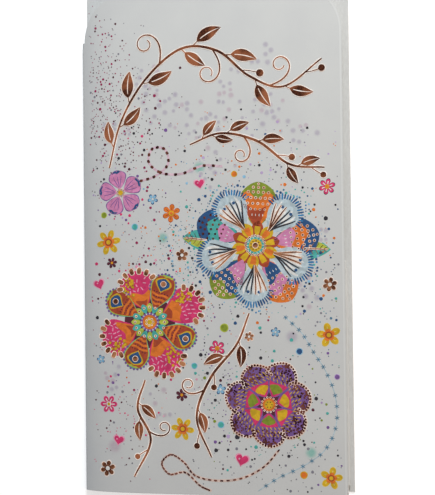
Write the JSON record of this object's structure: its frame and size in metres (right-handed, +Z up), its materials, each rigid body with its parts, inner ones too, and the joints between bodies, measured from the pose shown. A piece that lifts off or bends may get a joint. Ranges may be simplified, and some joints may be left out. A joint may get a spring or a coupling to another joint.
{
  "type": "gift money wallet",
  "caption": "Slim folded card money wallet with a round-cornered front cover hinged on a spine fold, a wider back panel and an inner pocket for banknotes.",
  "frame": {"origin": "middle of the underside of the closed wallet, which lies on its back panel", "axes": "+X from the spine fold to the opening edge, +Y from the bottom to the top of the card, +Z up through the layers"},
  "size_m": [0.0936, 0.174, 0.0054],
  "materials": {
    "card_board": "satin white card with colour printing on the cover",
    "adhesive": "dried adhesive",
    "copper_foil": "copper-coloured stamping foil, a metal-coated film",
    "ink_pink": "colour printing on the cover",
    "ink_orange": "colour printing on the cover",
    "ink_yellow": "colour printing on the cover",
    "ink_green": "colour printing on the cover",
    "ink_teal": "colour printing on the cover",
    "ink_blue": "colour printing on the cover",
    "ink_sky": "colour printing on the cover",
    "ink_purple": "colour printing on the cover"
  },
  "bodies": {
    "back": {"back_panel": "card_board", "spine_fold": "card_board", "pocket_fold": "card_board", "pocket_panel": "card_board", "pocket_tab_left": "card_board", "pocket_tab_right": "card_board", "glue_line_left": "adhesive", "glue_line_right": "adhesive"},
    "cover": {"front_cover": "card_board", "foil_vine": "copper_foil", "foil_spray": "copper_foil", "foil_stem_large": "copper_foil", "foil_stem_small": "copper_foil"}
  },
  "joints": [
    {"name": "cover_hinge", "type": "hinge", "parent": "back", "child": "cover", "pos_m": [-0.04555, 0, 0.0013], "axis": [0, -1, 0], "range_deg": [0, 150], "deforming": ["spine_fold"]}
  ]
}
